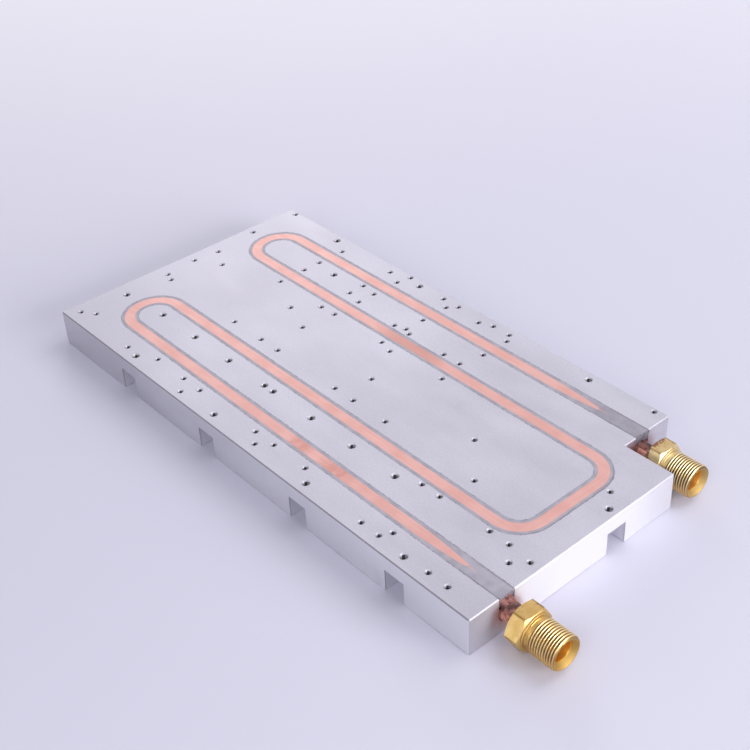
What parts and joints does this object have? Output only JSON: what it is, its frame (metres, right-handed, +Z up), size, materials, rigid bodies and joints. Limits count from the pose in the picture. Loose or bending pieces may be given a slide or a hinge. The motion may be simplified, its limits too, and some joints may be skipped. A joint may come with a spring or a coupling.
{
  "type": "liquid cooling plate",
  "caption": "Milled aluminium cooling plate with a copper coolant tube pressed level into a resin filled groove, tapped mounting holes and brass hose fittings at one end.",
  "frame": {"origin": "centre of the plate's underside, measured on the full outline with the corner cut-out filled in", "axes": "+X along the plate's length towards the end with the fittings, +Y towards the long side with the corner cut-out, +Z up, out of the cooled face"},
  "size_m": [0.3478, 0.16, 0.02],
  "materials": {
    "aluminium": "fine milled, satin",
    "copper": null,
    "resin": "cured filled resin, skimmed level",
    "brass": "turned brass with flux stains",
    "braze": "rough braze metal dark with burnt flux"
  },
  "bodies": {
    "root": {"base_plate": "aluminium", "coolant_tube": "copper", "groove_resin": "resin", "inlet_fitting": "brass", "outlet_fitting": "brass", "inlet_braze": "braze", "outlet_braze": "braze"}
  },
  "joints": []
}
